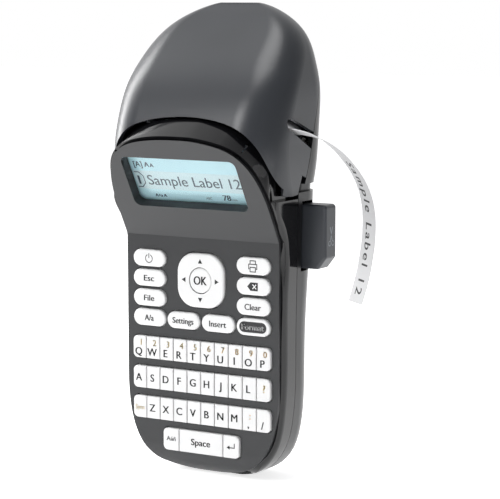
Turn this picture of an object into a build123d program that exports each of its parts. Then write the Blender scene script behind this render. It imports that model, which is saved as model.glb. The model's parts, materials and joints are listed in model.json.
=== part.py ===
"""Hand-held label maker: keypad handle, forward-leaning display hood, clamshell tape cover.

Units are millimetres. The model is drawn with Y = 0 on the flat keypad face, X = 0 on the centre
line and Z = 0 on the bottom end; save() then moves it so that the origin is the middle of the
small flat on the bottom end. The front looks towards -Y.
"""

import math
import os

from build123d import *

os.makedirs("parts", exist_ok=True)

# ---------------------------------------------------------------- driving dimensions
FACE_Y = -19.0          # keypad face, measured from the origin on the bottom flat
WALL = 2.2              # outer shells
FASCIA = 1.6            # front plate thickness
GAP = 0.3               # between shells
SPLIT_Y = 11.5          # plane where front and rear housings meet
SHOULDER_Z = 122.0      # the handle ends here and the head begins
BEND_Z = 104.0          # above this the front face leans forward
LEAN_DEG = 29.7         # lean of the display face from vertical

KEY_PITCH = 7.0
KEY_HEIGHT = 9.8
KEY_PROUD = 1.3         # key tops above the fascia
KEY_TRAVEL = 1.0
KEY_CLEAR = 0.4         # around a key in the fascia
ROW_Z = {"top": 54.5, "middle": 41.2, "bottom": 27.9}
SPACE_Z = 14.9
PILL_WIDTH = 16.4
PILL_HEIGHT = 7.4
PILL_X = (26.3, 8.8)
PILL_Z = (93.9, 85.2, 76.5, 67.8)
RING_Z = 85.8
RING_SIZE = 23.6
RING_RADIUS = 8.5
OK_RADIUS = 5.5

TAPE_WIDTH = 12.0
TAPE_THICK = 0.2
TAPE_U = -10.8          # height of the tape line in the head frame
TAPE_N = 12.9           # middle of the tape above the bay floor

# head frame: X across, local Y up along the cassette bay, local Z out of the bay
BAY_TILT = 16.7
BAY_ORIGIN = (0.0, 25.0, 157.0)
BAY_NORMAL = (0.0, -math.cos(math.radians(BAY_TILT)), math.sin(math.radians(BAY_TILT)))
BAY = Plane(origin=BAY_ORIGIN, x_dir=(1, 0, 0), z_dir=BAY_NORMAL)
HINGE_U = 41.6          # cover hinge axis in the head frame
HINGE_N = 0.0

# display frame: X across, local Y up the leaning face, local Z out of the face
FACE_NORMAL = (0.0, -math.cos(math.radians(LEAN_DEG)), -math.sin(math.radians(LEAN_DEG)))
DISPLAY = Plane(origin=(0, 0, BEND_Z), x_dir=(1, 0, 0), z_dir=FACE_NORMAL)
SCREEN_HALF = 28.5
SCREEN_LOW = 15.5
SCREEN_HIGH = 40.5
HOOD_TOP_T = 49.6       # top of the fascia arch, measured up the leaning face
HALF_SPAN = 45.0        # half width of construction prisms along X

# (height, half width, front, back, front corner radius, back corner radius)
HANDLE = [
    (0.0, 15.0, 11.6, 26.0, 3.0, 5.0),
    (2.0, 21.5, 6.0, 27.4, 4.0, 6.5),
    (5.0, 27.0, 2.8, 28.4, 4.0, 8.0),
    (10.0, 32.2, 1.1, 29.0, 4.0, 10.0),
    (17.0, 36.2, 0.6, 29.2, 4.0, 12.0),
    (27.0, 38.6, 0.6, 29.4, 4.0, 13.0),
    (40.0, 39.8, 0.6, 29.6, 4.0, 14.0),
    (62.0, 40.0, 0.6, 30.4, 4.0, 15.0),
    (86.0, 40.4, 0.6, 31.9, 4.0, 15.0),
    (103.0, 40.7, 0.6, 33.4, 4.0, 15.0),
    (112.0, 40.9, -3.6, 34.2, 4.0, 15.0),
    (SHOULDER_Z, 41.0, -9.4, 35.0, 4.5, 15.0),
]
HEAD = [
    (116.0, 41.4, -15.0, 34.6, 18.0, 15.0),
    (135.0, 41.9, -15.6, 36.3, 18.0, 15.0),
    (149.0, 42.0, -15.2, 38.2, 18.0, 15.0),
    (159.0, 42.0, -11.8, 39.3, 18.0, 15.0),
    (168.0, 41.8, -6.6, 39.7, 17.0, 15.0),
    (177.0, 40.5, 0.6, 39.2, 16.0, 15.0),
    (186.0, 37.5, 9.4, 38.2, 13.5, 13.0),
    (193.0, 32.3, 16.8, 37.0, 9.6, 9.6),
    (198.6, 24.6, 23.2, 35.5, 5.9, 5.9),
    (202.2, 16.6, 28.2, 34.3, 2.9, 2.9),
    (204.0, 9.6, 30.4, 33.2, 1.3, 1.3),
]
# front rim of the tape cover: half width and height of the arch, then the round lobe at each side
RIM_ARCH = [(0, 156.6), (8.5, 156.2), (20, 154.3), (28.7, 150.7), (34.6, 144.8), (37.8, 137.7), (39.7, 129.9),
            (41.2, 124.6)]
RIM_SIDE = [(-2.0, 124.6), (1.8, 123.7), (6.8, 123.4), (11.0, 123.9), (13.0, 125.0)]
RIM_DEPTH = 0.0         # the arch is cut this far back
LOBE_BACK = (-27.5, 3.8)    # below this height in the head frame, the lobe's back edge is this far out
# display hood, two arches: on the leaning face, and just inside the cover's rim
FACE_ARCH = [(39.2, 20.0), (38.6, 25.0), (35.6, 36.4), (28.2, 45.3), (14.3, 50.0), (0, 50.9)]
HOOD_ARCH = [(37.9, 11.3), (36.0, 19.6), (30.0, 27.4), (21.0, 32.5), (10.0, 34.9), (0, 35.4)]
HOOD_LEAN = 12.7        # lean of the second arch, in degrees
HOOD_BEHIND = 4.0       # the hood runs this far behind the second arch

nodes = {}


# ---------------------------------------------------------------- helpers
def save(node, shape):
    """Write one node, moved to the row's origin."""
    solids = list(shape.solids())
    kept = solids[0] if len(solids) == 1 else Compound(children=solids)
    moved = kept.moved(Location((0, FACE_Y, 0)))
    nodes[node] = moved
    export_step(moved, f"parts/{node}.step")


def block(x0, x1, y0, y1, z0, z1):
    """Axis-aligned box between two corners."""
    return Pos((x0 + x1) / 2, (y0 + y1) / 2, (z0 + z1) / 2) * Box(x1 - x0, y1 - y0, z1 - z0)


def tube_between(plane, x, y, z0, z1, radius):
    """Cylinder along the plane's normal, from z0 to z1."""
    return plane * (Pos(x, y, (z0 + z1) / 2) * Cylinder(radius, z1 - z0))


def local_block(plane, x0, x1, y0, y1, z0, z1):
    return plane * block(x0, x1, y0, y1, z0, z1)


def rounded_face(z, half, front, back, front_radius, back_radius):
    """Horizontal section with its own front and back corner radii."""
    depth = back - front
    face = Pos(0, (front + back) / 2) * Rectangle(2 * half, depth)
    low = face.vertices().sort_by(Axis.Y)[:2]
    face = fillet(low, min(front_radius, depth / 2 - 0.05))
    high = face.vertices().sort_by(Axis.Y)[-2:]
    face = fillet(high, min(back_radius, depth / 2 - 0.05))
    return Pos(0, 0, z) * face


def tower(sections, inset=0.0, floor=0.0, top=0.0, ruled=False):
    """Body through horizontal sections, optionally inset to make an inner shape."""
    faces = []
    last = len(sections) - 1
    for index, (z, half, front, back, rf, rb) in enumerate(sections):
        lift = floor if index == 0 else (-top if index == last else 0.0)
        faces.append(rounded_face(
            z + lift, half - inset, front + inset, back - inset,
            max(rf - inset, 0.8), max(rb - inset, 0.8)))
    return loft(faces, ruled=ruled)


def side_prism(points, x0, x1):
    """Prism along X over a polygon in the YZ plane."""
    face = Plane.YZ * make_face(Polyline(*points, close=True))
    return Pos(x0, 0, 0) * extrude(face, amount=x1 - x0)


def front_prism(sketch, y0, y1):
    """Prism along Y over a sketch drawn in X and Z."""
    return extrude(Plane(origin=(0, y0, 0), x_dir=(1, 0, 0), z_dir=(0, -1, 0)) * sketch,
                   amount=-(y1 - y0))


def bay_point(u, n):
    """Y and Z of a point in the head frame."""
    spot = BAY.from_local_coords(Vector(0, u, n))
    return spot.Y, spot.Z


def screw(plane, x, y, z_head, length, head_radius=2.4, head=1.8, shank=1.2):
    """Pan head screw: head above z_head, shank below it."""
    top = tube_between(plane, x, y, z_head, z_head + head, head_radius)
    body = tube_between(plane, x, y, z_head - length, z_head, shank)
    slot = local_block(plane, x - 1.3, x + 1.3, y - 0.3, y + 0.3, z_head + head - 0.8, z_head + head + 1)
    cross = local_block(plane, x - 0.3, x + 0.3, y - 1.3, y + 1.3, z_head + head - 0.8, z_head + head + 1)
    return top + body - slot - cross


def gear(teeth, module, thickness, bore, phase=0.0):
    """Spur gear with straight-flanked teeth and a little backlash, centred on the origin."""
    pitch = teeth * module / 2
    tip, root = pitch + 0.85 * module, pitch - 1.1 * module
    step = 2 * math.pi / teeth
    points = []
    for index in range(teeth):
        middle = index * step + phase
        for radius, share in ((root, -0.33), (tip, -0.11), (tip, 0.11), (root, 0.33)):
            angle = middle + share * step
            points.append((radius * math.cos(angle), radius * math.sin(angle)))
    face = make_face(Polyline(*points, close=True)) - Circle(bore)
    return extrude(face, amount=thickness)


# ---------------------------------------------------------------- shell envelopes
handle_outer = tower(HANDLE)
handle_inner = tower(HANDLE, inset=WALL, floor=WALL, top=0.0)
bay_clear = tower(HEAD[:-2], inset=WALL + 0.5, ruled=True)
handle_clear = tower(HANDLE, inset=WALL + 0.3, ruled=True)
head_outer = tower(HEAD)
head_inner = tower(HEAD[:-2], inset=WALL, ruled=True)

in_front_of_bay = local_block(BAY, -60, 60, -80, 80, GAP / 2, 90)
behind_bay = local_block(BAY, -60, 60, -80, 80, -90, -GAP / 2)


# ---------------------------------------------------------------- fascia
def fascia_outline():
    """Front-plate outline drawn in X and Z: round bottom end, straight sides, arch top."""
    return make_face([
        Spline((0, 0.8), (12, 1.8), (22.5, 5.0), (30.0, 10.8), (34.6, 18.5), (37.2, 28.5), (38.2, 42.0),
               tangents=((1, 0), (0.0, 1))),
        Line((38.2, 42.0), (38.3, 112.0)),
        Spline((38.3, 112.0), (37.6, 125.0), (34.6, 135.0), (27.5, 142.6), (14.0, 146.6), (0, 147.4),
               tangents=((0, 1), (-1, 0))),
        Spline((0, 147.4), (-14.0, 146.6), (-27.5, 142.6), (-34.6, 135.0), (-37.6, 125.0),
               (-38.3, 112.0), tangents=((-1, 0), (0, -1))),
        Line((-38.3, 112.0), (-38.2, 42.0)),
        Spline((-38.2, 42.0), (-37.2, 28.5), (-34.6, 18.5), (-30.0, 10.8), (-22.5, 5.0), (-12, 1.8), (0, 0.8),
               tangents=((0.0, -1), (1, 0))),
    ])


def front_line(offset):
    """Side profile of the front face, moved back by offset: end roll, flat, lean."""
    roll = 12.0 - offset
    lean = math.radians(LEAN_DEG)
    bend = offset * math.tan(lean / 2)
    top = HOOD_TOP_T + 6.0
    y_top = offset * math.cos(lean) - top * math.sin(lean)
    z_top = BEND_Z + offset * math.sin(lean) + top * math.cos(lean)
    return [(12.0, 12.0 - roll), (12.0, 12.0), roll, (offset, BEND_Z + bend), (y_top, z_top)]


def front_slab(offset0, offset1):
    """Sheet between two copies of the front profile."""
    shapes = []
    for offset in (offset0, offset1):
        low, centre, roll, bend, top = front_line(offset)
        start = Vector(0, low[0], low[1])
        arc_end = Vector(0, offset, 12.0)
        middle = Vector(0, centre[0] - roll * math.sin(math.pi / 4), centre[1] - roll * math.cos(math.pi / 4))
        arc = ThreePointArc(start, middle, arc_end)
        shapes.append((arc, Line(arc_end, Vector(0, *bend)), Line(Vector(0, *bend), Vector(0, *top))))
    outer, inner = shapes
    cap_low = Line(outer[0] @ 0, inner[0] @ 0)
    cap_top = Line(outer[2] @ 1, inner[2] @ 1)
    face = make_face(list(outer) + list(inner) + [cap_low, cap_top])
    return extrude(face, amount=HALF_SPAN, both=True)


def ahead_of_face(offset):
    """Everything in front of the front profile moved back by offset."""
    low, centre, roll, bend, top = front_line(offset)
    start = Vector(0, low[0], low[1])
    arc_end = Vector(0, offset, 12.0)
    middle = Vector(0, centre[0] - roll * math.sin(math.pi / 4), centre[1] - roll * math.cos(math.pi / 4))
    far_y, low_z = -90.0, -20.0
    face = make_face([
        ThreePointArc(start, middle, arc_end),
        Line(arc_end, Vector(0, *bend)),
        Line(Vector(0, *bend), Vector(0, *top)),
        Line(Vector(0, *top), Vector(0, far_y, top[1])),
        Line(Vector(0, far_y, top[1]), Vector(0, far_y, low_z)),
        Line(Vector(0, far_y, low_z), Vector(0, low[0], low_z)),
        Line(Vector(0, low[0], low_z), start),
    ])
    return extrude(face, amount=HALF_SPAN, both=True)


def pill(width, height):
    return SlotOverall(width, height)


def row_sketch(z, half, height, radius):
    return Pos(0, z) * RectangleRounded(2 * half, height, radius)


def ring_sketch(size, radius):
    return Pos(0, RING_Z) * RectangleRounded(size, size, radius)


PILLS = {
    "key_power": (-PILL_X[0], PILL_Z[0]), "key_esc": (-PILL_X[0], PILL_Z[1]),
    "key_file": (-PILL_X[0], PILL_Z[2]), "key_caps": (-PILL_X[0], PILL_Z[3]),
    "key_settings": (-PILL_X[1], PILL_Z[3]), "key_insert": (PILL_X[1], PILL_Z[3]),
    "key_print": (PILL_X[0], PILL_Z[0]), "key_backspace": (PILL_X[0], PILL_Z[1]),
    "key_clear": (PILL_X[0], PILL_Z[2]), "key_format": (PILL_X[0], PILL_Z[3]),
}
ROW_HALF = 5 * KEY_PITCH - 0.2
SPACE_HALF = 19.3
SPACE_SPLIT = 11.2
KEYHOLE_DEPTH = (-1.0, FASCIA + 1.0)

outline = fascia_outline()
fascia = front_slab(0.0, FASCIA) & front_prism(outline, -40, SPLIT_Y - GAP)
screen_frame = local_block(DISPLAY, -SCREEN_HALF - 1.4, SCREEN_HALF + 1.4, SCREEN_LOW - 1.4,
                           SCREEN_HIGH + 1.4, -4.8, -FASCIA / 2)
fascia += screen_frame
screen_hole = DISPLAY * (Pos(0, (SCREEN_LOW + SCREEN_HIGH) / 2, -7) * extrude(
    RectangleRounded(2 * SCREEN_HALF, SCREEN_HIGH - SCREEN_LOW, 3.0), amount=10))
fascia -= screen_hole
key_holes = []
for key_x, key_z in PILLS.values():
    hole = Pos(key_x, key_z) * pill(PILL_WIDTH + 2 * KEY_CLEAR, PILL_HEIGHT + 2 * KEY_CLEAR)
    key_holes.append(front_prism(hole, *KEYHOLE_DEPTH))
key_holes.append(front_prism(ring_sketch(RING_SIZE + 0.9, RING_RADIUS + 0.45), *KEYHOLE_DEPTH))
for row_z in ROW_Z.values():
    hole = row_sketch(row_z, ROW_HALF + KEY_CLEAR, KEY_HEIGHT + 2 * KEY_CLEAR, 2.4)
    key_holes.append(front_prism(hole, *KEYHOLE_DEPTH))
key_holes.append(front_prism(
    row_sketch(SPACE_Z, SPACE_HALF + KEY_CLEAR, KEY_HEIGHT + 2 * KEY_CLEAR, 2.4), *KEYHOLE_DEPTH))
for hole in key_holes:
    fascia -= hole
save("fascia", fascia)

# ---------------------------------------------------------------- rim of the tape cover
def rim_cut():
    """What lies in front of and below the cover's rim."""
    right = Spline(*RIM_ARCH, tangents=((1, 0), (0.3, -1)))
    left = Spline(*[(-x, z) for x, z in reversed(RIM_ARCH)], tangents=((0.3, 1), (1, 0)))
    low_x, low_z = RIM_ARCH[-1]
    face = make_face([right, left, Line((-low_x, low_z), (-low_x, 100.0)),
                      Line((-low_x, 100.0), (low_x, 100.0)), Line((low_x, 100.0), (low_x, low_z))])
    arch_cut = front_prism(face, -60, RIM_DEPTH)
    below = [(-70, RIM_SIDE[0][1])] + RIM_SIDE + [(60, 160.0), (60, 90), (-70, 90)]
    return arch_cut + side_prism(below, -60, 60)


# ---------------------------------------------------------------- front housing
SHELF = 1.8             # thickness of the step between handle and hood
hood_lean = math.radians(HOOD_LEAN)
RIM_PLANE = Plane(origin=(0, -4.5, SHOULDER_Z - 1.0), x_dir=(1, 0, 0),
                  z_dir=(0, -math.cos(hood_lean), -math.sin(hood_lean)))


def arch_face(points, foot, inset):
    """Closed arch outline on two straight feet, shrunk by inset."""
    inner = [(max(x - inset, 0.0), height - (inset if x < points[0][0] - 3 else 0.0)) for x, height in points]
    low_x, low_z = inner[0]
    mirrored = [(-x, height) for x, height in inner[::-1]]
    return make_face([
        Line((-low_x, foot), (low_x, foot)),
        Line((low_x, foot), (low_x, low_z)),
        Spline(*inner, tangents=((0, 1), (-1, 0))),
        Spline(*mirrored, tangents=((-1, 0), (0, -1))),
        Line((-low_x, low_z), (-low_x, foot)),
    ])


def hood_shape(inset, face_depth, behind, face_foot, rim_foot):
    """Hood between the leaning face and the cover's rim, then straight back."""
    front = DISPLAY * (Pos(0, 0, -face_depth) * arch_face(FACE_ARCH, face_foot, inset))
    middle = RIM_PLANE * arch_face(HOOD_ARCH, rim_foot, inset)
    return loft([front, middle], ruled=True) + extrude(middle, amount=-behind)


in_front_of_split = block(-60, 60, -60, SPLIT_Y - GAP / 2, -1, 200)
handle_hollow = handle_inner & block(-60, 60, -60, 60, -1, SHOULDER_Z - SHELF)
front_housing = (handle_outer - handle_hollow) & in_front_of_split
front_housing += hood_shape(0.0, FASCIA / 2, HOOD_BEHIND, 19.0, 0.0)
front_housing -= hood_shape(2.0, FASCIA + 2.0, HOOD_BEHIND + 2, 16.5, -1.0)
front_housing -= block(-33, 33, -7, 5, SHOULDER_Z - 2 * SHELF, SHOULDER_Z + 2)
for side in (-1, 1):
    lip_x = sorted((side * 36.0, side * 37.8))
    front_housing += block(*lip_x, -5, 9, SHOULDER_Z - 1, SHOULDER_Z + 3.4)
# one large window behind the fascia, leaving a ledge that carries it
window = make_face(Polyline(
    (35.2, 99.2), (35.2, 25.0), (33.4, 21.9), (20.0, 21.9), (20.0, 9.0), (-20.0, 9.0), (-20.0, 21.9),
    (-33.4, 21.9), (-35.2, 25.0), (-35.2, 99.2), close=True))
front_housing -= front_prism(window, -3, 5)
front_housing -= local_block(DISPLAY, -31.0, 31.0, SCREEN_LOW - 2.4, SCREEN_HIGH + 2.4, -11.6, 3)
# bosses for the board's screws
KEY_BACK = FASCIA + 0.35
FLANGE = 0.7
MAT_Y = KEY_BACK + FLANGE + KEY_TRAVEL + 0.3
BOARD_Y = MAT_Y + 1.0
BOARD_SCREWS = ((-31.0, 101.8), (31.0, 101.8), (-27.0, 18.5), (27.0, 18.5))
BACK_PLANE = Plane(origin=(0, 0, 0), x_dir=(-1, 0, 0), z_dir=(0, 1, 0))
for bx, bz in BOARD_SCREWS:
    front_housing += tube_between(BACK_PLANE, -bx, bz, 2.0, BOARD_Y - 0.05, 2.2)
    front_housing -= tube_between(BACK_PLANE, -bx, bz, 3.0, BOARD_Y + 1, 1.0)
front_housing -= ahead_of_face(FASCIA + 0.02)
save("front_housing", front_housing)

# ---------------------------------------------------------------- rear housing
COVER_HALF_X = 30.0
COVER_LOW = 24.0
COVER_HIGH = 92.0
behind_split = block(-60, 60, SPLIT_Y + GAP / 2, 60, -1, SHOULDER_Z + 2.6)
rear_handle = tower(HANDLE[:-1] + [(SHOULDER_Z + 2.6, 41.0, -8.4, 35.2, 4.5, 15.0)]) & behind_split
rear_handle_hollow = tower(HANDLE[:-1] + [(SHOULDER_Z + 2.6, 41.0, -8.4, 35.2, 4.5, 15.0)],
                           inset=WALL, floor=WALL)
rear_head = head_outer & behind_bay & block(-60, 60, -60, 60, SHOULDER_Z + 6.0, 230)
neck = tower([(SHOULDER_Z - 3, 38.4, 14.0, 32.4, 3.0, 13.0), (SHOULDER_Z + 9, 38.4, 17.0, 32.9, 3.0, 13.0)])
neck_hollow = tower([(SHOULDER_Z - 4, 36.4, 16.0, 30.4, 2.0, 11.0),
                     (SHOULDER_Z + 10, 36.4, 18.0, 30.9, 2.0, 11.0)])
head_floor = SHOULDER_Z + 8.2
rear_hollow = (head_inner & behind_bay & block(-60, 60, -60, 60, head_floor, 230))
rear_housing = (rear_handle - rear_handle_hollow) + (rear_head - rear_hollow) + neck
rear_housing -= neck_hollow
battery_window = front_prism(
    Pos(0, (COVER_LOW + COVER_HIGH) / 2) * RectangleRounded(2 * COVER_HALF_X, COVER_HIGH - COVER_LOW, 5.0), 20, 50)
rear_housing -= battery_window
BUTTON_Y = (15.5, 25.0)
BUTTON_Z = (92.0, 119.5)
button_window = block(30, 60, BUTTON_Y[0] - 0.8, BUTTON_Y[1] + 0.8, BUTTON_Z[0] - 1.2, BUTTON_Z[1] + 1.2)
rear_housing -= button_window

# hinge knuckles on the top back edge
hinge_y, hinge_z = bay_point(HINGE_U, HINGE_N)
KNUCKLE_R = 2.4
PIN_R = 1.0
PIN_RUNNING = 0.05


def knuckle(x0, x1, radius):
    return Pos((x0 + x1) / 2, hinge_y, hinge_z) * Rot(0, 90, 0) * Cylinder(radius, x1 - x0)


def knuckle_web(x0, x1, direction):
    """Short web joining a knuckle to its shell; direction +1 to the cover, -1 to the housing."""
    u0, u1 = (HINGE_U - 7.0, HINGE_U)
    n0, n1 = (0.5, 2.2) if direction > 0 else (-2.2, -0.5)
    return local_block(BAY, x0, x1, u0, u1, n0, n1)


HINGE_OUTER = 14.0
HINGE_INNER = 7.0
for side in (-1, 1):
    x_low, x_high = sorted((side * (HINGE_INNER + GAP), side * HINGE_OUTER))
    rear_housing += knuckle(x_low, x_high, KNUCKLE_R) + knuckle_web(x_low, x_high, -1)
rear_housing -= knuckle(-HINGE_INNER - GAP, HINGE_INNER + GAP, KNUCKLE_R + GAP)
rear_housing -= knuckle(-HINGE_OUTER - 1, HINGE_OUTER + 1, PIN_R)


def back_y(z):
    """Back face of the handle at a height, by straight lines between the sections."""
    for (z0, _, _, y0, _, _), (z1, _, _, y1, _, _) in zip(HANDLE, HANDLE[1:]):
        if z0 <= z <= z1:
            return y0 + (y1 - y0) * (z - z0) / (z1 - z0)
    return HANDLE[-1][3]


SCREW_SINK = 6.0
housing_screws = None
for sx, sz in ((-20.0, 106.0), (20.0, 106.0), (-13.0, 15.5), (13.0, 15.5)):
    top = back_y(sz)
    boss = tube_between(BACK_PLANE, -sx, sz, SPLIT_Y + 2.2, top - 1.0, 4.2)
    rear_housing += boss
    rear_housing -= tube_between(BACK_PLANE, -sx, sz, top - SCREW_SINK, top + 5, 2.6)
    rear_housing -= tube_between(BACK_PLANE, -sx, sz, SPLIT_Y, top - SCREW_SINK + 0.1, 1.3)
    one = screw(BACK_PLANE, -sx, sz, top - SCREW_SINK, 14.0)
    housing_screws = one if housing_screws is None else housing_screws + one
# ears for the cutter button's pivot pin
PIVOT_X, PIVOT_Z = 36.5, BUTTON_Z[0] + 3.0
rear_housing += block(33.8, 38.9, 12.0, 14.6, PIVOT_Z - 2.6, PIVOT_Z + 2.6)
rear_housing += block(33.0, 38.0, 26.0, 28.6, PIVOT_Z - 2.6, PIVOT_Z + 2.6) & handle_outer
rear_housing -= tube_between(BACK_PLANE, -PIVOT_X, PIVOT_Z, BUTTON_Y[0] - 2.5, BUTTON_Y[1] + 2.2, PIN_R)
save("rear_housing", rear_housing)
save("housing_screws", housing_screws)

# ---------------------------------------------------------------- battery cover, tray and cells
cover_sketch = Pos(0, (COVER_LOW + COVER_HIGH) / 2) * RectangleRounded(
    2 * COVER_HALF_X - 2 * GAP, COVER_HIGH - COVER_LOW - 2 * GAP, 4.8)
battery_cover = (handle_outer - handle_inner) & front_prism(cover_sketch, 20, 50)
for index in range(6):
    rib_z = COVER_HIGH - 8.0 - 2.6 * index
    battery_cover += block(-12, 12, back_y(rib_z) - 0.6, back_y(rib_z) + 0.5, rib_z - 0.5, rib_z + 0.5)
save("battery_cover", battery_cover)

CELL_R = 7.1
CELL_LENGTH = 50.0
CELL_Y = 17.2
CELL_Z0 = 33.5
CELL_PITCH = 14.9
TRAY_HALF = 2 * CELL_PITCH + 1.3
TRAY_Z = (CELL_Z0 - 4.6, CELL_Z0 + CELL_LENGTH + 2.6)
tray = block(-TRAY_HALF, TRAY_HALF, 8.6, 24.9, *TRAY_Z)
tray -= block(-TRAY_HALF + 1.2, TRAY_HALF - 1.2, 9.8, 30, TRAY_Z[0] + 1.2, TRAY_Z[1] - 1.2)
save("battery_tray", tray)

cells = None
springs = None
plates = None
for index in range(4):
    cx = (index - 1.5) * CELL_PITCH
    up = index % 2 == 0
    can = Pos(cx, CELL_Y, CELL_Z0 + CELL_LENGTH / 2) * Cylinder(CELL_R, CELL_LENGTH - 2)
    nub_z = CELL_Z0 + CELL_LENGTH - 0.5 if up else CELL_Z0 + 0.5
    can += Pos(cx, CELL_Y, nub_z) * Cylinder(2.6, 1.0)
    cells = can if cells is None else cells + can
    low_end, high_end = TRAY_Z[0] + 1.2, TRAY_Z[1] - 1.2
    flat = block(cx - 5, cx + 5, CELL_Y - 5, CELL_Y + 5, high_end - 0.5, high_end - 0.1)
    flat += block(cx - 5, cx + 5, CELL_Y - 5, CELL_Y + 5, low_end + 0.1, low_end + 0.5)
    plates = flat if plates is None else plates + flat
    turns = 3
    for turn in range(turns + 1):
        coil = Pos(cx, CELL_Y, low_end + 0.8 + turn * (CELL_Z0 - low_end - 1.4) / turns) * Torus(3.6, 0.22)
        springs = coil if springs is None else springs + coil
save("aa_cells", cells)
save("battery_plates", plates)
save("battery_springs", springs)

# ---------------------------------------------------------------- keypad, board and screws
keypad_mat = front_prism(Pos(0, 61.5) * RectangleRounded(71.0, 81.0, 3.0), MAT_Y, MAT_Y + 0.9)
keypad_mat += front_prism(Pos(0, 16.5) * RectangleRounded(40.0, 13.5, 2.0), MAT_Y, MAT_Y + 0.9)
board = front_prism(Pos(0, 58.5) * RectangleRounded(71.0, 91.0, 3.0), BOARD_Y, BOARD_Y + 1.2)
chips = block(-12, 0, BOARD_Y + 1.2, BOARD_Y + 2.2, 90.5, 101)
chips += block(6, 20, BOARD_Y + 1.2, BOARD_Y + 2.6, 90, 100)
board += chips
board_screws = None
for bx, bz in BOARD_SCREWS:
    keypad_mat -= tube_between(BACK_PLANE, -bx, bz, 0, 20, 2.6)
    board -= tube_between(BACK_PLANE, -bx, bz, 0, 20, 1.1)
    one = screw(BACK_PLANE, -bx, bz, BOARD_Y + 1.25, 2.6, 1.9, 1.2, 1.0)
    board_screws = one if board_screws is None else board_screws + one
save("keypad_mat", keypad_mat & handle_clear)
save("main_board", board & handle_clear)
save("board_screws", board_screws)


def key_solid(sketch_cap, sketch_flange, round_top=0.7):
    """Key cap through the fascia with a retaining flange behind it."""
    cap = front_prism(sketch_cap, -KEY_PROUD, KEY_BACK)
    top_face = cap.faces().sort_by(Axis.Y)[0]
    cap = fillet(top_face.edges(), round_top)
    return cap + front_prism(sketch_flange, KEY_BACK, KEY_BACK + FLANGE)


for name, (key_x, key_z) in PILLS.items():
    cap_sketch = Pos(key_x, key_z) * pill(PILL_WIDTH, PILL_HEIGHT)
    flange_sketch = Pos(key_x, key_z) * pill(PILL_WIDTH + 0.5, PILL_HEIGHT + 1.1)
    save(name, key_solid(cap_sketch, flange_sketch))


def edge_key(x0, x1, z, height, round_left, round_right):
    """Straight key, its outer corners rounded at a row's end."""
    face = Pos((x0 + x1) / 2, z) * Rectangle(x1 - x0, height)
    corners = []
    if round_left:
        corners += list(face.vertices().sort_by(Axis.X)[:2])
    if round_right:
        corners += list(face.vertices().sort_by(Axis.X)[-2:])
    if corners:
        face = fillet(corners, 2.2)
    flange_x0 = x0 + (1.8 if round_left else 0.6)
    flange_x1 = x1 - (1.8 if round_right else 0.6)
    flange = Pos((flange_x0 + flange_x1) / 2, z) * Rectangle(flange_x1 - flange_x0, height + 1.4)
    return key_solid(face, flange, 0.45)


HAIRLINE = 0.22
for row, row_z in ROW_Z.items():
    row_keys = None
    for index in range(10):
        x0 = -ROW_HALF if index == 0 else (index - 5) * KEY_PITCH + HAIRLINE
        x1 = ROW_HALF if index == 9 else (index - 4) * KEY_PITCH - HAIRLINE
        one = edge_key(x0, x1, row_z, KEY_HEIGHT, index == 0, index == 9)
        row_keys = one if row_keys is None else row_keys + one
    save(f"letter_keys_{row}", row_keys)
save("key_accents", edge_key(-SPACE_HALF, -SPACE_SPLIT - HAIRLINE, SPACE_Z, KEY_HEIGHT, True, False))
save("key_space", edge_key(-SPACE_SPLIT + HAIRLINE, SPACE_SPLIT - HAIRLINE, SPACE_Z, KEY_HEIGHT, False, False))
save("key_enter", edge_key(SPACE_SPLIT + HAIRLINE, SPACE_HALF, SPACE_Z, KEY_HEIGHT, False, True))

# navigation ring on a small gimbal, with the OK key inside
RING_BACK = KEY_BACK + FLANGE
ring = front_prism(ring_sketch(RING_SIZE, RING_RADIUS), -KEY_PROUD, RING_BACK)
ring = fillet(ring.faces().sort_by(Axis.Y)[0].edges(), 1.0)
ring -= front_prism(Pos(0, RING_Z) * Circle(OK_RADIUS + 0.3), -3, 5)
save("nav_ring", ring)
gimbal = front_prism(Pos(0, RING_Z) * (Circle(OK_RADIUS + 2.6) - Circle(OK_RADIUS + 1.1)),
                     RING_BACK + 0.5, RING_BACK + 0.8)
save("nav_gimbal", gimbal)
ok_cap = front_prism(Pos(0, RING_Z) * Circle(OK_RADIUS), -KEY_PROUD + 0.1, RING_BACK + 0.2)
ok_cap = fillet(ok_cap.faces().sort_by(Axis.Y)[0].edges(), 0.7)
save("key_ok", ok_cap)

# ---------------------------------------------------------------- display
window_plate = local_block(DISPLAY, -SCREEN_HALF - 1.2, SCREEN_HALF + 1.2, SCREEN_LOW - 1.2, SCREEN_HIGH + 1.2,
                           -5.9, -4.9)
save("display_window", window_plate)
save("lcd_panel", local_block(DISPLAY, -SCREEN_HALF - 1.0, SCREEN_HALF + 1.0, SCREEN_LOW - 1.0, SCREEN_HIGH + 1.0,
                              -7.6, -6.0))
backlight = local_block(DISPLAY, -SCREEN_HALF - 1.6, SCREEN_HALF + 1.6, SCREEN_LOW - 1.6, SCREEN_HIGH + 1.6,
                        -10.2, -7.7)
save("lcd_backlight", backlight)
flex = local_block(DISPLAY, -9, 9, 3.0, SCREEN_LOW - 1.7, -9.0, -8.8)
save("display_flex", flex)

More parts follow.
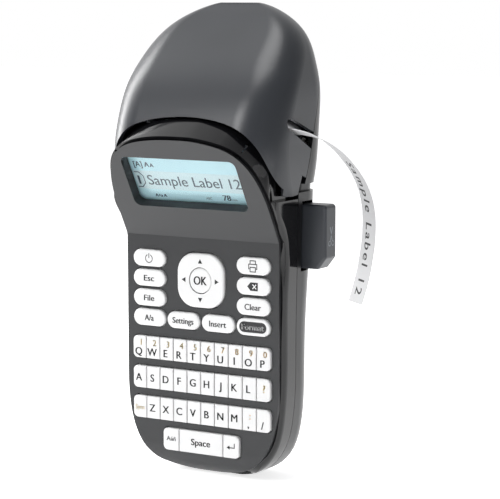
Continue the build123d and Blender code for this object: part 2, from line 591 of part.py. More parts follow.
# ---------------------------------------------------------------- tape cover
tape_cover = (head_outer - head_inner) & in_front_of_bay & block(-60, 60, -60, 60, 118, 230)
tape_cover -= rim_cut()
tape_cover -= local_block(BAY, -60, 60, -60, LOBE_BACK[0], -2, LOBE_BACK[1])
bay_slot_points = [(-5.0, -7.9), (20.6, -6.6), (22.0, -7.4), (22.4, -9.4), (21.2, -11.4), (-5.0, -15.9)]
slot_face = make_face(Polyline(*[(n, u) for n, u in bay_slot_points], close=True))
slot_plane = Plane(origin=BAY_ORIGIN, x_dir=BAY_NORMAL,
                   z_dir=(-1, 0, 0))
slot_cut = Pos(70, 0, 0) * extrude(slot_plane * slot_face, amount=40)
tape_cover -= slot_cut
tape_cover += knuckle(-HINGE_INNER, HINGE_INNER, KNUCKLE_R) + knuckle_web(-HINGE_INNER, HINGE_INNER, 1)
for side in (-1, 1):
    x_low, x_high = sorted((side * HINGE_INNER, side * (HINGE_OUTER + GAP)))
    tape_cover -= knuckle(x_low, x_high, KNUCKLE_R + GAP)
tape_cover -= knuckle(-HINGE_INNER - 1, HINGE_INNER + 1, PIN_R + PIN_RUNNING)
save("tape_cover", tape_cover)
save("cover_hinge_pin", knuckle(-HINGE_OUTER, HINGE_OUTER, PIN_R))

# ---------------------------------------------------------------- cassette bay and print mechanism
plate = bay_clear & local_block(BAY, -37.0, 37.0, -27.0, 34.0, 0.6, 2.4)
ROLLER_X = 31.6
ROLLER_R = 4.0
ROLLER_U = TAPE_U - TAPE_THICK / 2 - ROLLER_R - 0.05
MODULE = 0.8
PLATEN_TEETH, IDLER_TEETH, PINION_TEETH = 16, 24, 10
IDLER_X = ROLLER_X - (PLATEN_TEETH + IDLER_TEETH) * MODULE / 2
PINION_X = IDLER_X - (IDLER_TEETH + PINION_TEETH) * MODULE / 2
SHAFT_R = 1.4
RUNNING = 0.05
plate -= tube_between(BAY, ROLLER_X, ROLLER_U, -5, 5, SHAFT_R + RUNNING)
plate += tube_between(BAY, IDLER_X, ROLLER_U, -4.2, 0.6, SHAFT_R)
plate -= tube_between(BAY, PINION_X, ROLLER_U, -5, 5, SHAFT_R)
save("mechanism_plate", plate)

shaft = tube_between(BAY, ROLLER_X, ROLLER_U, -4.4, 20.4, SHAFT_R)
save("platen_shaft", shaft)
rubber = tube_between(BAY, ROLLER_X, ROLLER_U, 5.4, 19.8, ROLLER_R) - tube_between(
    BAY, ROLLER_X, ROLLER_U, 5, 21, SHAFT_R)
save("platen_roller", rubber)
GEAR_THICK = 2.2
GEAR_N = -3.6
save("platen_gear", BAY * (Pos(ROLLER_X, ROLLER_U, GEAR_N) * gear(
    PLATEN_TEETH, MODULE, GEAR_THICK, SHAFT_R)))
save("idler_gear", BAY * (Pos(IDLER_X, ROLLER_U, GEAR_N) * gear(
    IDLER_TEETH, MODULE, GEAR_THICK, SHAFT_R + RUNNING, math.pi / IDLER_TEETH)))
save("motor_pinion", BAY * (Pos(PINION_X, ROLLER_U, GEAR_N) * gear(
    PINION_TEETH, MODULE, GEAR_THICK, 0.75, 0.0)))
motor_can = tube_between(BAY, PINION_X, ROLLER_U, -10.6, -4.6, 8.5)
motor_can += tube_between(BAY, PINION_X, ROLLER_U, -4.6, -4.1, 2.5)
motor_can += tube_between(BAY, PINION_X, ROLLER_U, -4.1, -1.2, 0.7)
save("motor", motor_can)

HEAD_X = (28.2, 35.4)
head_low = TAPE_U + TAPE_THICK / 2 + 0.05
print_head = local_block(BAY, *HEAD_X, head_low, head_low + 1.2, 5.6, 20.2)
save("print_head", print_head)
sink = local_block(BAY, *HEAD_X, head_low + 1.3, head_low + 5.8, 2.4, 20.2)
for index in range(3):
    fin_x = HEAD_X[0] + 1.4 + 1.9 * index
    sink -= local_block(BAY, fin_x, fin_x + 0.9, head_low + 3.0, head_low + 6, 5.0, 21)
save("heat_sink", sink)
ANVIL_X = (36.5, 37.1)
anvil = local_block(BAY, *ANVIL_X, TAPE_U + 0.7, TAPE_U + 5.5, 2.4, 20.2)
save("cutter_anvil", anvil)
BLADE_X = (37.2, 37.7)
blade_top = TAPE_U - 1.6
blade_face = make_face(Polyline((4.2, blade_top - 9), (20.6, blade_top - 9), (20.6, blade_top),
                                (4.2, blade_top - 2.6), close=True))
blade = extrude(Plane(origin=BAY_ORIGIN, x_dir=BAY_NORMAL, z_dir=(-1, 0, 0)) * blade_face, amount=-0.5)
save("cutter_blade", Pos(BLADE_X[0], 0, 0) * blade)

# cassette: tray-shaped case, clear lid, wound tape on a core
CASE_X = (-30.0, 27.0)
CASE_U = (-22.0, 19.5)
CASE_N = (5.0, 20.6)
ROLL_X, ROLL_U = -6.0, 0.0
ROLL_R, CORE_R, POST_R = 15.0, 7.5, 3.0
case = local_block(BAY, *CASE_X, *CASE_U, CASE_N[0], CASE_N[1] - 1.3)
case = fillet(case.edges().filter_by(Axis(BAY_ORIGIN, BAY_NORMAL)), 5.0)
case -= local_block(BAY, CASE_X[0] + 1.2, CASE_X[1] - 1.2, CASE_U[0] + 1.2, CASE_U[1] - 1.2,
                    CASE_N[0] + 1.2, CASE_N[1])
case += tube_between(BAY, ROLL_X, ROLL_U, CASE_N[0] + 1.0, CASE_N[1] - 1.6, POST_R)
case -= local_block(BAY, CASE_X[1] - 3, CASE_X[1] + 3, TAPE_U - 1.0, TAPE_U + 1.0, CASE_N[0] + 1.2, CASE_N[1])
save("cassette_case", case)
lid = local_block(BAY, *CASE_X, *CASE_U, CASE_N[1] - 1.2, CASE_N[1])
lid = fillet(lid.edges().filter_by(Axis(BAY_ORIGIN, BAY_NORMAL)), 5.0)
save("cassette_lid", lid)
core = tube_between(BAY, ROLL_X, ROLL_U, TAPE_N - 6.2, TAPE_N + 6.2, CORE_R) - tube_between(
    BAY, ROLL_X, ROLL_U, 0, 30, POST_R + RUNNING)
save("tape_core", core)
roll = tube_between(BAY, ROLL_X, ROLL_U, TAPE_N - 6, TAPE_N + 6, ROLL_R) - tube_between(
    BAY, ROLL_X, ROLL_U, 0, 30, CORE_R)
save("tape_roll", roll)

# ---------------------------------------------------------------- printed label strip
# blank tape from the cassette to the cutter, then the printed strip curling down outside
save("tape_lead", local_block(BAY, 22.0, ANVIL_X[0] - 0.2, TAPE_U - TAPE_THICK / 2, TAPE_U + TAPE_THICK / 2,
                              TAPE_N - TAPE_WIDTH / 2, TAPE_N + TAPE_WIDTH / 2))
strip_points = [(38.2, 0.0), (42.5, 0.0), (52.0, -2.0), (61.5, -7.0), (70.5, -14.8), (76.6, -23.0),
                (80.2, -32.0), (81.8, -42.0), (82.0, -52.0), (81.4, -61.0), (80.0, -69.5)]
path = Spline([(x, u + TAPE_U) for x, u in strip_points], tangents=((1, 0), (-0.2, -1)))
offsets = [-TAPE_THICK / 2, TAPE_THICK / 2]


def strip_edge(offset):
    """Points of the strip's centre line moved sideways by offset, square to the line."""
    moved = []
    for index in range(25):
        spot, slope = path @ (index / 24), path % (index / 24)
        moved.append((spot.X - slope.Y * offset, spot.Y + slope.X * offset))
    return moved


low_edge, high_edge = strip_edge(offsets[0]), strip_edge(offsets[1])
strip_face = make_face([
    Spline(low_edge),
    Line(low_edge[-1], high_edge[-1]),
    Spline(high_edge[::-1]),
    Line(high_edge[0], low_edge[0]),
])
strip = BAY * (Pos(0, 0, TAPE_N - TAPE_WIDTH / 2) * extrude(strip_face, amount=TAPE_WIDTH))
save("label_strip", strip)

# ---------------------------------------------------------------- cutter button
button_face = make_face(Polyline((38.6, BUTTON_Z[0]), (48.2, BUTTON_Z[0]), (52.0, BUTTON_Z[0] + 5.0),
                                 (52.0, BUTTON_Z[1]), (38.6, BUTTON_Z[1]), close=True))
button = front_prism(button_face, *BUTTON_Y)
button = fillet(button.edges().filter_by(Axis.Y).sort_by(Axis.X)[-3:], 1.6)
button = fillet(button.faces().sort_by(Axis.X)[-1].edges().filter_by(Axis.Z), 1.2)
arm = block(34.4, 39.0, BUTTON_Y[0] + 1.6, BUTTON_Y[1] - 1.6, BUTTON_Z[0] + 0.8, BUTTON_Z[0] + 10.0)
button += arm
button -= tube_between(BACK_PLANE, -PIVOT_X, PIVOT_Z, 0, 40, PIN_R + RUNNING)
save("cutter_button", button)
save("cutter_pivot_pin", tube_between(BACK_PLANE, -PIVOT_X, PIVOT_Z, BUTTON_Y[0] - 1.4, BUTTON_Y[1] + 1.4, PIN_R))
spring = None
for turn in range(4):
    coil = Pos(34.6 + 1.0 * turn, 20.2, BUTTON_Z[1] - 8.0) * Rot(0, 90, 0) * Torus(2.6, 0.3)
    spring = coil if spring is None else spring + coil
save("cutter_return_spring", spring)

for node, shape in nodes.items():
    box = shape.bounding_box()
    print(f"{node:24s} solids {len(shape.solids()):3d} volume {shape.volume:10.1f}"
          f"  x {box.min.X:7.1f} {box.max.X:7.1f}  y {box.min.Y:7.1f} {box.max.Y:7.1f}"
          f"  z {box.min.Z:7.1f} {box.max.Z:7.1f}")
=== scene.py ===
"""Looks of the hand-held label maker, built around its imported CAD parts."""

import json
import math

import bpy
import numpy as np
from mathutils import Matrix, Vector


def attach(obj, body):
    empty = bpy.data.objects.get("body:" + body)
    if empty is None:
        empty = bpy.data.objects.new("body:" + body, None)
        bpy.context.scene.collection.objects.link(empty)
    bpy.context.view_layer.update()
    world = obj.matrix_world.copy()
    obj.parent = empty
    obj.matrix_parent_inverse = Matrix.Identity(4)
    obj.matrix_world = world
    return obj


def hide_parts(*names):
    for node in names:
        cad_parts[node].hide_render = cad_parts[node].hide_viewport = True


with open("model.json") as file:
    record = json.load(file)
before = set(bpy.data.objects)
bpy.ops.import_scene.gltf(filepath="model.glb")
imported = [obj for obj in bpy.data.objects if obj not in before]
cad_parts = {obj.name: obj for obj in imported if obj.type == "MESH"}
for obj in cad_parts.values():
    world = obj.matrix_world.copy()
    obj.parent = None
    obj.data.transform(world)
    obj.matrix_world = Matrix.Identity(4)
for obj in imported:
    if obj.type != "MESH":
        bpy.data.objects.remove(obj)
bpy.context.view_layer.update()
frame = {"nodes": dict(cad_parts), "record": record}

# ------------------------------------------------------------------ shared sizes, in millimetres
FACE_Y = -19.0
BEND_Z = 104.0
LEAN = math.radians(29.7)
BAY_TILT = math.radians(16.7)
BAY_Y, BAY_Z = 25.0, 157.0
KEY_TOP = -1.3
KEY_PITCH = 7.0
ROW_Z = {"top": 54.5, "middle": 41.2, "bottom": 27.9}
SPACE_Z = 14.9
RING_Z = 85.8
SIDE_PILL_X = 26.3
INNER_PILL_X = 8.8
PILL_Z = (85.2, 76.5, 67.8)
INK_LIFT = 0.03


def at(x, y, z):
    """Point given from the keypad face, in metres in the row frame."""
    return Vector((x / 1000, (y + FACE_Y) / 1000, z / 1000))


def on_keys(x, z, out=0.0):
    """Point on the key tops."""
    return at(x, KEY_TOP - INK_LIFT - out, z)


def on_display(x, t, w):
    """Point in the display's own plane: t up the leaning face, w out of it."""
    return at(x, -t * math.sin(LEAN) - w * math.cos(LEAN),
              BEND_Z + t * math.cos(LEAN) - w * math.sin(LEAN))


def in_bay(x, u, n):
    """Point in the head frame: u up the cassette bay, n out of it."""
    return at(x, BAY_Y + u * math.sin(BAY_TILT) - n * math.cos(BAY_TILT),
              BAY_Z + u * math.cos(BAY_TILT) + n * math.sin(BAY_TILT))


# ------------------------------------------------------------------ materials
def srgb(value):
    """Linear value of an 8-bit sRGB level."""
    c = value / 255
    return c / 12.92 if c <= 0.04045 else ((c + 0.055) / 1.055) ** 2.4


def material(name, level, rough, metallic=0.0, grain=0.06, scale=900.0, bump=0.02, depth=0.00002,
             coat=0.0, specular=0.5, stretch=(1, 1, 1), **plain):
    """Principled material whose colour, roughness and surface vary a little with noise."""
    made = bpy.data.materials.new(name)
    made.use_nodes = True
    tree = made.node_tree
    shader = tree.nodes["Principled BSDF"]
    colour = [srgb(v) for v in level]
    coords = tree.nodes.new("ShaderNodeTexCoord")
    mapping = tree.nodes.new("ShaderNodeMapping")
    mapping.inputs["Scale"].default_value = stretch
    tree.links.new(coords.outputs["Object"], mapping.inputs["Vector"])
    noise = tree.nodes.new("ShaderNodeTexNoise")
    noise.inputs["Scale"].default_value = scale
    noise.inputs["Detail"].default_value = 3.0
    tree.links.new(mapping.outputs["Vector"], noise.inputs["Vector"])
    broad = tree.nodes.new("ShaderNodeTexNoise")
    broad.inputs["Scale"].default_value = 35.0
    broad.inputs["Detail"].default_value = 2.0
    tree.links.new(mapping.outputs["Vector"], broad.inputs["Vector"])
    ramp = tree.nodes.new("ShaderNodeValToRGB")
    ramp.color_ramp.elements[0].position = 0.3
    ramp.color_ramp.elements[1].position = 0.7
    ramp.color_ramp.elements[0].color = [c * (1 - grain) for c in colour] + [1]
    ramp.color_ramp.elements[1].color = [min(1.0, c * (1 + grain)) for c in colour] + [1]
    tree.links.new(broad.outputs["Fac"], ramp.inputs["Fac"])
    tree.links.new(ramp.outputs["Color"], shader.inputs["Base Color"])
    spread = tree.nodes.new("ShaderNodeMapRange")
    spread.inputs["To Min"].default_value = rough * 0.93
    spread.inputs["To Max"].default_value = min(1.0, rough * 1.07)
    tree.links.new(noise.outputs["Fac"], spread.inputs["Value"])
    tree.links.new(spread.outputs["Result"], shader.inputs["Roughness"])
    if bump:
        lift = tree.nodes.new("ShaderNodeBump")
        lift.inputs["Strength"].default_value = bump
        lift.inputs["Distance"].default_value = depth
        tree.links.new(noise.outputs["Fac"], lift.inputs["Height"])
        tree.links.new(lift.outputs["Normal"], shader.inputs["Normal"])
    shader.inputs["Metallic"].default_value = metallic
    shader.inputs["Coat Weight"].default_value = coat
    shader.inputs["Coat Roughness"].default_value = 0.05
    shader.inputs["Specular IOR Level"].default_value = specular
    for key, value in plain.items():
        shader.inputs[key.replace("_", " ")].default_value = value
    return made


LOOKS = {
    "cover_grey": material("satin_cover", (50, 52, 56), 0.34, bump=0.12, depth=0.00003, scale=2600),
    "fascia_grey": material("satin_fascia", (36, 37, 39), 0.4, bump=0.12, depth=0.00003, scale=2600),
    "gloss_black": material("gloss_black", (13, 13, 15), 0.09, grain=0.1, bump=0.0),
    "rear_dark": material("satin_rear", (16, 17, 19), 0.3, bump=0.1, depth=0.00003, scale=2600),
    "button_slate": material("satin_slate", (46, 49, 54), 0.36, bump=0.12, depth=0.00003, scale=2600),
    "key_white": material("key_white", (222, 222, 222), 0.42, grain=0.015, bump=0.05),
    "inner_black": material("inner_black", (28, 28, 30), 0.55),
    "steel": material("steel", (196, 197, 200), 0.28, 1.0, grain=0.08, stretch=(1, 1, 14)),
    "plated": material("plated", (214, 210, 198), 0.2, 1.0, grain=0.05),
    "cell_wrap": material("cell_wrap", (52, 84, 96), 0.3, grain=0.1, coat=0.4),
    # The silicone mat is near-black as painted shade, so the clearances between the keys read dark.
    "silicone": material("silicone", (30, 30, 32), 0.7),
    "board_green": material("board_green", (24, 84, 50), 0.35, grain=0.2),
    "lcd": material("lcd_face", (196, 232, 238), 0.3, grain=0.02, bump=0.0),
    "backlight": material("backlight", (236, 238, 240), 0.5, grain=0.02),
    "flex": material("flex_film", (176, 120, 48), 0.3),
    "roller_rubber": material("roller_rubber", (44, 44, 46), 0.8),
    "gear_white": material("gear_white", (232, 230, 222), 0.4, grain=0.03),
    "brass": material("brass", (206, 172, 108), 0.3, 1.0),
    "motor_can": material("motor_can", (168, 170, 172), 0.35, 1.0, stretch=(1, 1, 10)),
    "ceramic": material("ceramic", (222, 218, 208), 0.15),
    "aluminium": material("aluminium", (204, 205, 208), 0.38, 1.0, stretch=(1, 8, 1)),
    "cassette_white": material("cassette_white", (230, 230, 230), 0.4, grain=0.02),
    "tape_white": material("tape_white", (224, 224, 225), 0.4, grain=0.012, bump=0.04),
    "clear": material("clear_window", (250, 253, 255), 0.03, grain=0.01, bump=0.0,
                      Transmission_Weight=1.0, IOR=1.3),
}
INKS = {
    "black": material("ink_black", (30, 30, 32), 0.5, grain=0.1),
    "grey": material("ink_grey", (96, 98, 102), 0.5, grain=0.1),
    "yellow": material("ink_yellow", (246, 226, 178), 0.5, grain=0.03),
    "orange": material("ink_orange", (247, 216, 168), 0.5, grain=0.03),
    "white": material("ink_white", (244, 244, 244), 0.4, grain=0.02),
    "lcd": material("lcd_ink", (58, 78, 92), 0.5, grain=0.1),
    "band": material("lcd_band", (206, 226, 228), 0.4, grain=0.02),
    "light": material("icon_light", (120, 125, 132), 0.4, grain=0.05),
}

slots = {part["node"]: part["material_slot"] for part in frame["record"]["subparts"]}
for node, obj in frame["nodes"].items():
    obj.data.materials.clear()
    obj.data.materials.append(LOOKS[slots[node]])


# ------------------------------------------------------------------ lettering and marks
class Marks:
    """Flat shapes gathered by the body they ride on and their ink."""

    def __init__(self):
        self.groups = {}

    def add(self, body, ink, points, faces, place):
        group = self.groups.setdefault((body, ink), ([], []))
        start = len(group[0])
        group[0].extend(place(x, y) for x, y in points)
        group[1].extend([[start + index for index in face] for face in faces])

    def polygon(self, body, ink, points, place):
        self.add(body, ink, points, [list(range(len(points)))], place)

    def stroke(self, body, ink, points, width, place, closed=False):
        """Line of even width through the points, with square joints."""
        path = [Vector(p) for p in points]
        count = len(path)
        left, right = [], []
        for index, spot in enumerate(path):
            before = path[index - 1] if index or closed else None
            after = path[(index + 1) % count] if index < count - 1 or closed else None
            into = (spot - before).normalized() if before is not None else None
            out = (after - spot).normalized() if after is not None else None
            along = ((into or out) + (out or into)).normalized()
            side = Vector((-along.y, along.x))
            reach = width / 2 / max(0.5, side.dot(Vector((-(out or into).y, (out or into).x))))
            left.append(tuple(spot + side * reach))
            right.append(tuple(spot - side * reach))
        last = count if closed else count - 1
        faces = [[i, (i + 1) % count, count + (i + 1) % count, count + i] for i in range(last)]
        self.add(body, ink, left + right, faces, place)

    def build(self):
        for (body, ink), (points, faces) in self.groups.items():
            mesh = bpy.data.meshes.new(f"marks_{ink}_{body}")
            mesh.from_pydata([tuple(p) for p in points], [], faces)
            obj = bpy.data.objects.new(f"marks_{ink}_{body}", mesh)
            bpy.context.scene.collection.objects.link(obj)
            mesh.materials.append(INKS[ink])
            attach(obj, body)


def glyphs(text, height, spacing=1.0):
    """Outlines of a text, centred, with capitals of the given height."""
    curve = bpy.data.curves.new("glyphs", "FONT")
    curve.body = text
    curve.size = 1.0
    curve.space_character = spacing
    curve.resolution_u = 4
    obj = bpy.data.objects.new("glyphs", curve)
    bpy.context.scene.collection.objects.link(obj)
    bpy.context.view_layer.update()
    mesh = bpy.data.meshes.new_from_object(obj.evaluated_get(bpy.context.evaluated_depsgraph_get()))
    points = np.array([v.co[:2] for v in mesh.vertices]).reshape(-1, 2)
    faces = [list(p.vertices) for p in mesh.polygons]
    bpy.data.objects.remove(obj)
    bpy.data.curves.remove(curve)
    bpy.data.meshes.remove(mesh)
    points = points * (height / CAPITAL)
    middle = (points[:, 0].min() + points[:, 0].max()) / 2
    points -= np.array([middle, height / 2])
    return [tuple(p) for p in points], faces


CAPITAL = 1.0
sample, sample_faces = glyphs("H", 1.0)
CAPITAL = max(p[1] for p in sample) - min(p[1] for p in sample)
COPY_STEP = 0.004       # keeps the copies of a thickened letter from lying in the same place
marks = Marks()


def write(body, ink, text, height, x, z, place=on_keys, wide=None, bold=0.0):
    """Centred text at x, z of a surface, set to a width and thickened sideways if asked."""
    points, faces = glyphs(text, height)
    reach = max(p[0] for p in points)
    narrow = wide / 2 / reach if wide else 1.0
    for shift in ((-bold / 2, 0.0, bold / 2) if bold else (0.0,)):
        lift = COPY_STEP * (shift > 0) - COPY_STEP * (shift < 0)
        marks.add(body, ink, points, faces,
                  lambda px, py: place(x + px * narrow + shift, z + py + lift))


# letter rows
LETTERS = {"top": "QWERTYUIOP", "middle": "ASDFGHJKL", "bottom": " ZXCVBNM,/"}
for row, letters in LETTERS.items():
    body = f"letter_row_{row}"
    for index, letter in enumerate(letters):
        x = (index - 4.5) * KEY_PITCH
        drop = -2.0 if row == "top" or letter in ",/" else -0.2
        if letter != " ":
            write(body, "black", letter, 3.2, x - 0.4, ROW_Z[row] + drop, bold=0.22)
for index, digit in enumerate("1234567890"):
    x = (index - 4.5) * KEY_PITCH
    write("letter_row_top", "orange" if index > 4 else "yellow", digit, 2.6, x + 0.9, ROW_Z["top"] + 2.1,
          bold=0.3)
write("letter_row_middle", "yellow", "?", 3.2, 4.5 * KEY_PITCH + 0.4, ROW_Z["middle"] + 0.6, bold=0.4)
write("letter_row_bottom", "orange", ":", 3.0, 3.5 * KEY_PITCH + 0.5, ROW_Z["bottom"] + 1.6, bold=0.3)
write("letter_row_bottom", "yellow", "Sym", 2.0, -4.5 * KEY_PITCH, ROW_Z["bottom"] - 0.3, wide=4.6, bold=0.2)
write("key_space_body", "black", "Space", 2.8, 0.0, SPACE_Z, wide=9.6, bold=0.22)
write("key_accents_body", "grey", "Aáñ", 1.9, -15.2, SPACE_Z + 0.3, wide=4.7, bold=0.15)

# function keys
PILLS = {
    "key_esc": ("Esc", -SIDE_PILL_X, PILL_Z[0]), "key_file": ("File", -SIDE_PILL_X, PILL_Z[1]),
    "key_caps": ("A/a", -SIDE_PILL_X, PILL_Z[2]), "key_settings": ("Settings", -INNER_PILL_X, PILL_Z[2]),
    "key_insert": ("Insert", INNER_PILL_X, PILL_Z[2]), "key_clear": ("Clear", SIDE_PILL_X, PILL_Z[1]),
}
PILL_TEXT = {"Esc": 5.2, "File": 5.2, "A/a": 4.6, "Settings": 10.6, "Insert": 8.4, "Clear": 8.0}
for key, (text, x, z) in PILLS.items():
    write(f"{key}_body", "black", text, 2.5, x, z - 0.1, wide=PILL_TEXT[text], bold=0.2)


def arc(cx, cy, radius, start, end, steps=20):
    """Points along an arc, angles in degrees."""
    return [(cx + radius * math.cos(math.radians(start + (end - start) * i / steps)),
             cy + radius * math.sin(math.radians(start + (end - start) * i / steps)))
            for i in range(steps + 1)]


def slot_outline(cx, cy, width, height, steps=12):
    """Outline with two round ends."""
    radius = height / 2
    right = arc(cx + width / 2 - radius, cy, radius, -90, 90, steps)
    left = arc(cx - width / 2 + radius, cy, radius, 90, 270, steps)
    return right + left


def raised(amount):
    """Placer for marks that lie over another mark on the keys."""
    return lambda x, z: on_keys(x, z, amount)


marks.polygon("key_format_body", "black", slot_outline(SIDE_PILL_X, PILL_Z[2], 13.4, 4.6), on_keys)
write("key_format_body", "white", "Format", 2.4, SIDE_PILL_X, PILL_Z[2], place=raised(INK_LIFT),
      wide=10.9, bold=0.2)
marks.stroke("key_power_body", "black", arc(-26.3, 93.7, 1.75, 115, 425, 28), 0.38, on_keys)
marks.stroke("key_power_body", "black", [(-26.3, 93.9), (-26.3, 96.0)], 0.38, on_keys)
printer = [(24.7, 92.7), (24.3, 92.7), (24.3, 94.7), (28.3, 94.7), (28.3, 92.7), (27.9, 92.7)]
marks.stroke("key_print_body", "black", printer, 0.4, on_keys)
marks.stroke("key_print_body", "black", [(25.0, 94.7), (25.0, 96.2), (27.6, 96.2), (27.6, 94.7)], 0.4,
             on_keys)
marks.stroke("key_print_body", "black", [(25.0, 93.4), (27.6, 93.4), (27.6, 91.5), (25.0, 91.5)], 0.4,
             on_keys, closed=True)
marks.polygon("key_backspace_body", "black", [
    (23.6, 85.2), (25.2, 87.0), (28.8, 87.0), (28.8, 83.4), (25.2, 83.4)], on_keys)
for tilt in (1, -1):
    marks.stroke("key_backspace_body", "white",
                 [(26.2, PILL_Z[0] - tilt * 0.95), (28.0, PILL_Z[0] + tilt * 0.95)], 0.38, raised(INK_LIFT))
marks.stroke("key_enter_body", "black", [(17.1, 16.6), (17.1, 14.6), (13.9, 14.6)], 0.42, on_keys)
marks.polygon("key_enter_body", "black", [(13.2, 14.6), (14.7, 15.5), (14.7, 13.7)], on_keys)

# navigation ring
for turn in range(4):
    a = math.radians(90 * turn)
    tip = [(0.0, 9.4), (-1.1, 7.4), (1.1, 7.4)]
    turned = [(x * math.cos(a) - z * math.sin(a), x * math.sin(a) + z * math.cos(a) + RING_Z) for x, z in tip]
    marks.polygon("nav_ring_body", "black", turned, on_keys)
write("ok_body", "black", "OK", 3.6, 0.0, RING_Z, place=raised(-0.1), wide=6.4, bold=0.3)

# display
LCD_W = -5.95           # face of the liquid crystal panel, below the leaning face


def lcd_place(x, t):
    """Point on the display's writing."""
    return on_display(x, t, LCD_W)


def lcd_under(x, t):
    """Point just under the display's writing."""
    return on_display(x, t, LCD_W - INK_LIFT)


marks.polygon("root", "band", [(-28.4, 20.6), (28.4, 20.6), (28.4, 29.9), (-28.4, 29.9)], lcd_under)
write("root", "lcd", "Sample Label 12", 4.9, 1.0, 25.3, place=lcd_place, wide=46.5, bold=0.1)
marks.stroke("root", "lcd", [(-28.2, 29.1), (-25.9, 29.1), (-24.0, 27.0), (-24.0, 23.6), (-25.9, 21.5),
                             (-28.2, 21.5)], 0.42, lcd_place)
write("root", "lcd", "1", 4.3, -26.7, 25.1, place=lcd_place, bold=0.45)
write("root", "lcd", "[A]", 2.7, -24.9, 33.3, place=lcd_place, wide=4.3, bold=0.15)
write("root", "lcd", "A", 2.4, -20.4, 33.2, place=lcd_place, bold=0.3)
write("root", "lcd", "A", 1.8, -17.9, 32.9, place=lcd_place, bold=0.3)
write("root", "lcd", "A+a A", 1.5, -18.0, 17.5, place=lcd_place, wide=5.8, bold=0.3)
write("root", "lcd", "ABC", 1.2, 6.3, 17.3, place=lcd_place, wide=3.0)
write("root", "lcd", "78", 2.7, 15.3, 18.0, place=lcd_place, wide=3.8, bold=0.3)
write("root", "lcd", "mm", 1.1, 18.9, 17.3, place=lcd_place, wide=2.4)

# scissors on the cutter button
SCISSORS = (20.4, 106.0)
BUTTON_FACE_X = 52.03


def on_button(y, z):
    return at(BUTTON_FACE_X, SCISSORS[0] + y, SCISSORS[1] + z)


for side in (-1, 1):
    handle = arc(side * 1.35, -3.0, 1.0, 0, 340, 18)
    marks.stroke("button_body", "light", handle, 0.35, on_button, closed=True)
    marks.stroke("button_body", "light", [(side * 0.85, -2.1), (-side * 1.0, 4.0)], 0.5, on_button)

# printed text along the label strip, following its curl
STRIP = [(38.2, 0.0), (42.5, 0.0), (52.0, -2.0), (61.5, -7.0), (70.5, -14.8), (76.6, -23.0),
         (80.2, -32.0), (81.8, -42.0), (82.0, -52.0), (81.4, -61.0), (80.0, -69.5)]
TAPE_U, TAPE_N, TAPE_THICK = -10.8, 12.9, 0.2
TAPE_HALF = 6.0
STRIP_STEPS = 240
KNOT_STEPS = 30


def smooth_line(points, count):
    """Even points along a smooth curve through the given ones."""
    knots = [Vector(p) for p in points]
    dense = []
    for index in range(len(knots) - 1):
        p1, p2 = knots[index], knots[index + 1]
        p0 = knots[index - 1] if index else 2 * p1 - p2
        p3 = knots[index + 2] if index + 2 < len(knots) else 2 * p2 - p1
        for step in range(KNOT_STEPS):
            t = step / KNOT_STEPS
            dense.append(0.5 * (2 * p1 + (p2 - p0) * t + (2 * p0 - 5 * p1 + 4 * p2 - p3) * t * t
                                + (3 * p1 - p0 - 3 * p2 + p3) * t ** 3))
    dense.append(knots[-1])
    lengths = [0.0]
    for a, b in zip(dense, dense[1:]):
        lengths.append(lengths[-1] + (b - a).length)
    total = lengths[-1]
    made, cursor = [], 0
    for index in range(count):
        want = total * index / (count - 1)
        while cursor < len(lengths) - 2 and lengths[cursor + 1] < want:
            cursor += 1
        share = (want - lengths[cursor]) / max(1e-9, lengths[cursor + 1] - lengths[cursor])
        made.append(dense[cursor].lerp(dense[cursor + 1], min(1.0, max(0.0, share))))
    return made, total


strip_line, strip_length = smooth_line(STRIP, STRIP_STEPS + 1)


def on_strip(s, n):
    """Point on the strip's outer face: s along it in millimetres, n across it."""
    place = min(max(s / strip_length, 0.0), 1.0) * STRIP_STEPS
    low = min(int(place), STRIP_STEPS - 1)
    spot = strip_line[low].lerp(strip_line[low + 1], place - low)
    along = (strip_line[low + 1] - strip_line[low]).normalized()
    out = Vector((-along.y, along.x)) * (TAPE_THICK / 2 + INK_LIFT)
    return in_bay(spot.x + out.x, TAPE_U + spot.y + out.y, TAPE_N - n)


def strip_mesh():
    """The curling strip as one closed sheet of the tape's thickness."""
    points, faces = [], []
    count = len(strip_line)
    for index, spot in enumerate(strip_line):
        near, far = strip_line[max(index - 1, 0)], strip_line[min(index + 1, count - 1)]
        along = (far - near).normalized()
        side = Vector((-along.y, along.x)) * (TAPE_THICK / 2)
        for n in (-TAPE_HALF, TAPE_HALF):
            for sign in (1, -1):
                points.append(in_bay(spot.x + side.x * sign, TAPE_U + spot.y + side.y * sign, TAPE_N + n))
    for index in range(count - 1):
        a, b = 4 * index, 4 * index + 4
        faces += [[a, b, b + 2, a + 2], [a + 3, b + 3, b + 1, a + 1],
                  [a + 1, b + 1, b, a], [a + 2, b + 2, b + 3, a + 3]]
    end = 4 * (count - 1)
    faces += [[0, 2, 3, 1], [end, end + 1, end + 3, end + 2]]
    mesh = bpy.data.meshes.new("printed_label_strip")
    mesh.from_pydata([tuple(p) for p in points], [], faces)
    for polygon in mesh.polygons:
        polygon.use_smooth = True
    mesh.set_sharp_from_angle(angle=math.radians(40))
    obj = bpy.data.objects.new("printed_label_strip", mesh)
    bpy.context.scene.collection.objects.link(obj)
    mesh.materials.append(LOOKS["tape_white"])
    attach(obj, "root")
    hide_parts("label_strip")


strip_mesh()
strip_points, strip_faces = glyphs("Sample Label 12", 5.0, 1.3)
TEXT_START, TEXT_LENGTH = 33.0, 58.0
TEXT_DROP = -0.6
text_left = min(p[0] for p in strip_points)
stretch = TEXT_LENGTH / (-2 * text_left)
for shift in (-0.1, 0.1):
    marks.add("root", "black", strip_points, strip_faces,
              lambda px, py: on_strip(TEXT_START + (px - text_left) * stretch + shift, TEXT_DROP + py))
marks.build()

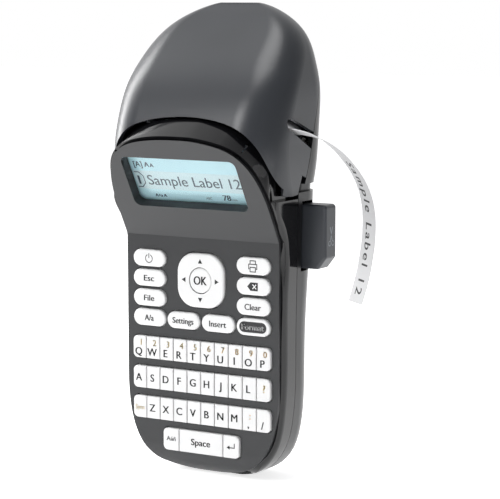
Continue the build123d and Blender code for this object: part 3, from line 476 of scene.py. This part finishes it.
# ------------------------------------------------------------------ floor, light and camera
bpy.ops.mesh.primitive_plane_add(size=8.0, location=(0, 0, -0.0002))
floor = bpy.context.object
floor.name = "floor"
floor_white = material("floor_white", (244, 244, 244), 0.8, grain=0.003, bump=0.0)
floor_shader = floor_white.node_tree.nodes["Principled BSDF"]
floor_shader.inputs["Emission Color"].default_value = (1, 1, 1, 1)
floor_shader.inputs["Emission Strength"].default_value = 0.75
floor_shader.inputs["Specular IOR Level"].default_value = 0.0
floor.data.materials.append(floor_white)

world = bpy.data.worlds.new("studio")
bpy.context.scene.world = world
world.use_nodes = True
sky = world.node_tree
spot_from = sky.nodes.new("ShaderNodeTexCoord")
facing = sky.nodes.new("ShaderNodeVectorMath")
facing.operation = "DOT_PRODUCT"
facing.inputs[1].default_value = (-0.515, 0.857, 0.0)
fade = sky.nodes.new("ShaderNodeValToRGB")
fade.color_ramp.elements[0].position = 0.0
fade.color_ramp.elements[0].color = (0.16, 0.163, 0.17, 1)
fade.color_ramp.elements[1].position = 0.72
fade.color_ramp.elements[1].color = (1.0, 1.0, 1.0, 1)
sky.links.new(spot_from.outputs["Generated"], facing.inputs[0])
sky.links.new(facing.outputs["Value"], fade.inputs["Fac"])
sky.links.new(fade.outputs["Color"], sky.nodes["Background"].inputs["Color"])
sky.nodes["Background"].inputs["Strength"].default_value = 1.0


def softbox(name, location, aim, width, height, power):
    """Soft rectangular light aimed at a point."""
    light = bpy.data.lights.new(name, "AREA")
    light.shape = "RECTANGLE"
    light.size, light.size_y = width, height
    light.energy = power
    obj = bpy.data.objects.new(name, light)
    bpy.context.scene.collection.objects.link(obj)
    obj.location = location
    obj.rotation_euler = (Vector(aim) - Vector(location)).to_track_quat("-Z", "Y").to_euler()


softbox("key_light", (-0.35, -0.95, 0.8), (0, 0, 0.12), 0.35, 0.5, 6.5)
softbox("left_strip", (-0.6, 0.02, 0.3), (0, 0, 0.12), 0.16, 0.8, 5.0)
softbox("top_light", (-0.1, -0.1, 1.1), (0, 0, 0.1), 0.5, 0.5, 4.5)

camera = bpy.data.cameras.new("camera")
camera.sensor_width = 36.0
camera.lens = 144.0
camera.dof.use_dof = False
camera.clip_start, camera.clip_end = 0.05, 20.0
view = bpy.data.objects.new("camera", camera)
bpy.context.scene.collection.objects.link(view)
view.location = (0.45509, -0.73617, 0.20645)
CAMERA_AIM = Vector((0.02417, -0.019, 0.10075))
view.rotation_euler = (CAMERA_AIM - view.location).to_track_quat("-Z", "Y").to_euler()
bpy.context.scene.camera = view
bpy.context.scene.view_settings.view_transform = "Standard"
bpy.context.scene.view_settings.look = "None"
